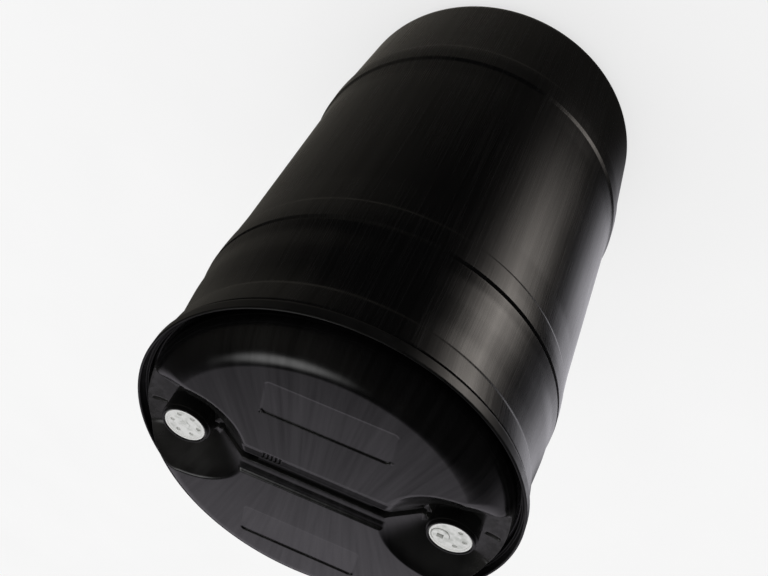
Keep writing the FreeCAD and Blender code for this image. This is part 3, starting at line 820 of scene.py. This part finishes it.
def glow(tree, direction, azimuth, elevation, width, height, strength, colour, edge=1.0):
    """One soft light in the surround. Angles in degrees."""
    level = add(tree, "ShaderNodeVectorRotate", {"Vector": direction, "Angle": math.radians(-azimuth)},
                rotation_type="Z_AXIS").outputs[0]
    facing = add(tree, "ShaderNodeVectorRotate", {"Vector": level, "Angle": math.radians(elevation)},
                 rotation_type="Y_AXIS").outputs[0]
    parts = add(tree, "ShaderNodeSeparateXYZ", {0: facing})
    across = math_node(tree, "ARCTAN2", parts.outputs[1], parts.outputs[0])
    above = math_node(tree, "ARCSINE", parts.outputs[2])
    across = math_node(tree, "DIVIDE", across, math.radians(width))
    above = math_node(tree, "DIVIDE", above, math.radians(height))
    return soft_spot(tree, across, above, strength, colour, edge)


def world():
    """Soft studio surround: even and pale for the floor and white parts, and a dark room with a few
    large soft lights for what the black plastic mirrors."""
    made = bpy.data.worlds.new("studio")
    bpy.context.scene.world = made
    made.use_nodes = True
    tree = made.node_tree
    direction = add(tree, "ShaderNodeTexCoord").outputs["Generated"]
    lights = (
        glow(tree, direction, -30, 30, 40, 60, 0.08, SAND),
        glow(tree, direction, 103, 2, 60, 44, 0.43, LILAC, 3.0),
        glow(tree, direction, 98, 27, 30, 7, 0.3, LILAC),
        glow(tree, direction, 35, 65, 12.5, 13.5, 2.3, WHITE, 2.0),
    )
    room = summed(tree, DARK_ROOM, lights)
    mirrored = add(tree, "ShaderNodeBackground", {"Color": room, "Strength": 1.0}).outputs[0]
    even = add(tree, "ShaderNodeBackground", {"Color": (1, 1, 1, 1), "Strength": 1.0}).outputs[0]
    glossy = add(tree, "ShaderNodeLightPath").outputs["Is Glossy Ray"]
    both = add(tree, "ShaderNodeMixShader", {0: glossy, 1: even, 2: mirrored}).outputs[0]
    tree.links.new(both, tree.nodes["World Output"].inputs["Surface"])


def camera():
    """Camera above the head, looking down the drum, turned so that the head comes towards the viewer."""
    back = Vector((math.sin(CAMERA_AZIMUTH) * math.cos(CAMERA_ELEVATION),
                   -math.cos(CAMERA_AZIMUTH) * math.cos(CAMERA_ELEVATION), math.sin(CAMERA_ELEVATION)))
    across = Vector((math.cos(CAMERA_AZIMUTH), math.sin(CAMERA_AZIMUTH), 0))
    over = back.cross(across)
    right = math.cos(CAMERA_ROLL) * across + math.sin(CAMERA_ROLL) * over
    up = -math.sin(CAMERA_ROLL) * across + math.cos(CAMERA_ROLL) * over
    lens = bpy.data.cameras.new("camera")
    lens.lens = CAMERA_LENS
    lens.sensor_width = CAMERA_SENSOR
    made = bpy.data.objects.new("camera", lens)
    bpy.context.scene.collection.objects.link(made)
    turn = Matrix((right, up, back)).transposed().to_4x4()
    place = Vector((0, 0, CAMERA_AIM_Z)) + back * CAMERA_DISTANCE
    made.matrix_world = Matrix.Translation(place - CAMERA_LEFT * right - CAMERA_DOWN * up) @ turn
    bpy.context.scene.camera = made


# ---- Build -----------------------------------------------------------------------------------------
def dress():
    """Pieces and their materials."""
    moulded = moulded_plastic()
    white = white_plastic()
    rubber = black_rubber()
    coat(drum_shell(), body_plastic())
    coat(lifting_ring(), moulded)
    for name in ("neck_insert_left", "neck_insert_right"):
        coat(frame["nodes"][name], moulded)
    for name in ("plug_left", "plug_right", "reducer_plug"):
        coat(frame["nodes"][name], white)
    for name in ("plug_gasket_left", "plug_gasket_right", "reducer_gasket"):
        coat(frame["nodes"][name], rubber)


dress()
floor()
mirrored_floor()
world()
camera()
bpy.context.scene.view_settings.view_transform = "Standard"
